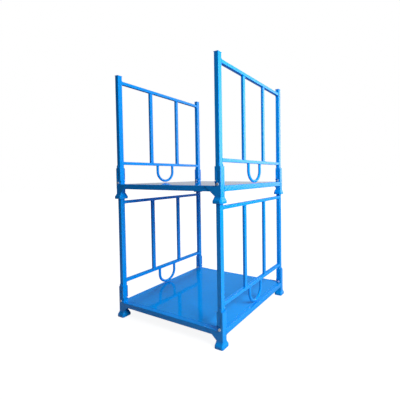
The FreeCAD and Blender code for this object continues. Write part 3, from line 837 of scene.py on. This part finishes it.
class RACK_OT_bolts(DressStep):
    """Zinc pivot bolts and nuts"""
    bl_idname = "rack.bolts"
    bl_label = "Pivot bolts"

    def dress(self, sizes):
        for rack in RACKS:
            for hand in HANDS:
                node = f"{rack}_{hand}_pivot_bolts"
                boxes = islands_of(node)
                bolts = [box for box in boxes if box[1][1] - box[0][1] > LONGEST_NUT]
                nuts = [box for box in boxes if box[1][1] - box[0][1] <= LONGEST_NUT]
                low, high = bolts[0]
                nut_low, nut_high = nuts[0]
                centre = Vector(((low[0] + high[0]) / 2, low[1], (low[2] + high[2]) / 2))
                master = self.bolt_mesh(sizes, high[1] - low[1], nut_low[1] - low[1],
                                        nut_high[1] - nut_low[1], high[2] - low[2])
                spots = bpy.data.meshes.new(node + "_spots")
                spots.from_pydata([(centre[0], box[0][1], centre[2]) for box in bolts], [], [])
                item = placed(node + "_spots", spots)
                mesh = grown(node + "_dressed", item, "copies", master=master, material=MATERIALS["zinc"])
                bpy.data.objects.remove(master)
                dress_node(node, mesh, f"{rack}_{hand}_pivots", "zinc", 25)

    @staticmethod
    def bolt_mesh(sizes, whole, nut_start, nut_length, across_flats):
        """A hexagon bolt from its head at Y 0, with its nut on."""
        mesh = bmesh.new()
        shank = across_flats / 3
        face = HEAD_HEIGHT - sizes.washer_rise
        washer = across_flats * WASHER_FACE
        add_hexagon(mesh, face, 0.0, across_flats, sizes.bolt_chamfer, 0, False)
        thread_start = nut_start - THREAD_LEAD
        profile = [(washer, face), (washer, HEAD_HEIGHT), (shank, HEAD_HEIGHT), (shank, thread_start)]
        turns = int((whole - 0.001 - thread_start) / THREAD_PITCH)
        for i in range(turns):
            profile.append((shank - THREAD_ROOT, thread_start + THREAD_PITCH * (i + 0.35)))
            profile.append((shank - THREAD_CREST, thread_start + THREAD_PITCH * (i + 0.85)))
        profile.append((shank - THREAD_TIP, whole))
        add_lathed(mesh, profile)
        add_hexagon(mesh, nut_start, nut_start + nut_length, across_flats, sizes.bolt_chamfer,
                    shank - NUT_BORE, True)
        bmesh.ops.recalc_face_normals(mesh, faces=mesh.faces)
        return placed("pivot_bolt_master", mesh_from(mesh, "pivot_bolt_master"))


class RACK_OT_welds(DressStep):
    """Weld beads where the frame's and the gates' tubes meet"""
    bl_idname = "rack.welds"
    bl_label = "Welds"

    def dress(self, sizes):
        for rack in RACKS:
            routes = []
            for part, axis in (("front_beam", 0), ("back_beam", 0), ("left_beam", 1), ("right_beam", 1)):
                low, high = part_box(f"{rack}_{part}")
                low, high = Vector(low), Vector(high)
                routes += [seam_round(low, high, axis, low[axis]), seam_round(low, high, axis, high[axis])]
            lay_welds(rack + "_frame_welds", rack + "_base", routes)
            for hand in HANDS:
                gate = f"{rack}_{hand}"
                routes = []
                for part, axis in (("top_rail", 1), ("lower_rail", 1), ("bars", 2)):
                    for low, high in islands_of(f"{gate}_{part}"):
                        routes += [seam_round(low, high, axis, low[axis]),
                                   seam_round(low, high, axis, high[axis])]
                low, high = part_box(gate + "_loop")
                pipe = (high[0] - low[0]) / 2
                for y in (low[1] + pipe, high[1] - pipe):
                    routes.append(circle_round(Vector(((low[0] + high[0]) / 2, y, high[2])), pipe))
                lay_welds(gate + "_gate_welds", gate + "_gate", routes)


class RACK_OT_stage(bpy.types.Operator):
    """Floor, light and camera"""
    bl_idname = "rack.stage"
    bl_label = "Stage"

    def execute(self, context):
        studio = context.scene.rack_studio
        finish = context.scene.rack_finish
        bpy.ops.mesh.primitive_plane_add(size=FLOOR_SIZE)
        floor = context.object
        floor.name = "studio_floor"
        floor.data.materials.append(make_floor("pale_floor", tuple(finish.floor)))
        self.add_light("key", 2.5, studio.key_strength, studio.key_place, 1.3)
        self.add_light("back", 2.0, studio.back_strength, studio.back_place, 0.8)
        self.make_world(context, studio)
        self.aim_camera(context, studio)
        context.scene.view_settings.view_transform = "Standard"
        return {"FINISHED"}

    @staticmethod
    def add_light(name, size, strength, location, aim_height):
        """A square light that faces the rack's axis and isn't seen in reflections."""
        lamp = bpy.data.lights.new(name, "AREA")
        lamp.shape = "SQUARE"
        lamp.size = size
        lamp.energy = strength
        light = placed(name, lamp)
        light.location = location
        away = light.location - Vector((0, 0, aim_height))
        light.rotation_euler = away.to_track_quat("Z", "Y").to_euler()
        light.visible_glossy = False

    @staticmethod
    def make_world(context, studio):
        """Even fill for diffuse light, white to the camera, and a horizon and two panels in reflections."""
        world = bpy.data.worlds.new("studio")
        world.use_nodes = True
        context.scene.world = world
        tree = NodeTree(world.node_tree)
        seen = tree.add("ShaderNodeLightPath", output=0)
        mirrored = tree.add("ShaderNodeLightPath", output=3)
        direction = tree.add("ShaderNodeTexCoord", output=0)
        height = tree.add("ShaderNodeSeparateXYZ", {}, direction, output=2)
        behind = tree.add("ShaderNodeSeparateXYZ", {}, direction, output=1)
        side = tree.dot(direction, SIDE_PANEL)
        front = tree.dot(direction, FRONT_PANEL)
        fill = (height * 0.6 + 0.7).clamped() * studio.fill_strength
        horizon = (1.0 - height * 3.2).clamped()
        mirror = 0.02 + (behind + 0.05).clamped() * (0.24 + horizon * horizon * 0.5)
        mirror = mirror + ((side - 0.95) * 25.0).clamped() * 4.0
        mirror = mirror + ((front - 0.95) * 30.0).clamped() * 3.6
        strength = fill + mirrored * (mirror - fill)
        strength = strength + seen * (1.0 - strength)
        cast = tree.mixed((seen + mirrored).clamped(), (0.85, 1.0, 1.3), (1.0, 1.0, 1.0))
        shine = tree.add("ShaderNodeBackground", {}, Color=cast, Strength=strength)
        tree.add("ShaderNodeOutputWorld", {}, Surface=shine)

    @staticmethod
    def aim_camera(context, studio):
        """Sets the camera by its place, turn, tilt and roll."""
        turn, tilt, roll = studio.camera_turn
        ahead = Vector((-math.sin(turn) * math.cos(tilt), math.cos(turn) * math.cos(tilt), -math.sin(tilt)))
        right = Vector((math.cos(turn), math.sin(turn), 0))
        up = right.cross(ahead)
        rolled_right = right * math.cos(roll) + up * math.sin(roll)
        rolled_up = up * math.cos(roll) - right * math.sin(roll)
        axes = Matrix((rolled_right, rolled_up, -ahead)).transposed().to_4x4()
        lens = bpy.data.cameras.new("camera")
        lens.lens = studio.lens
        lens.sensor_width = 36
        lens.shift_x, lens.shift_y = studio.shift
        lens.clip_end = 200
        camera = bpy.data.objects.new("camera", lens)
        camera.matrix_world = Matrix.Translation(studio.camera_place) @ axes
        context.scene.collection.objects.link(camera)
        context.scene.camera = camera


class RACK_PT_panel(bpy.types.Panel):
    """Steps that dress the rack"""
    bl_label = "Tyre rack"
    bl_idname = "RACK_PT_panel"
    bl_space_type = "VIEW_3D"
    bl_region_type = "UI"
    bl_category = "Tyre rack"

    def draw(self, context):
        for step in STEPS:
            self.layout.operator(step.bl_idname)
        for group in (context.scene.rack_sizes, context.scene.rack_finish, context.scene.rack_studio):
            for name in type(group).__annotations__:
                self.layout.prop(group, name)


STEPS = (RACK_OT_deck_frames, RACK_OT_corners, RACK_OT_gates, RACK_OT_bolts, RACK_OT_welds, RACK_OT_stage)
GROUPS = (("rack_sizes", RackSizes), ("rack_finish", RackFinish), ("rack_studio", RackStudio))


def register():
    for name, group in GROUPS:
        bpy.utils.register_class(group)
        setattr(bpy.types.Scene, name, bpy.props.PointerProperty(type=group))
    for item in (*STEPS, RACK_PT_panel):
        bpy.utils.register_class(item)


def unregister():
    for item in (RACK_PT_panel, *reversed(STEPS)):
        bpy.utils.unregister_class(item)
    for name, group in reversed(GROUPS):
        delattr(bpy.types.Scene, name)
        bpy.utils.unregister_class(group)


def main():
    register()
    paint_all()
    for step in STEPS:
        family, name = step.bl_idname.split(".")
        getattr(getattr(bpy.ops, family), name)()


if __name__ == "__main__":
    main()
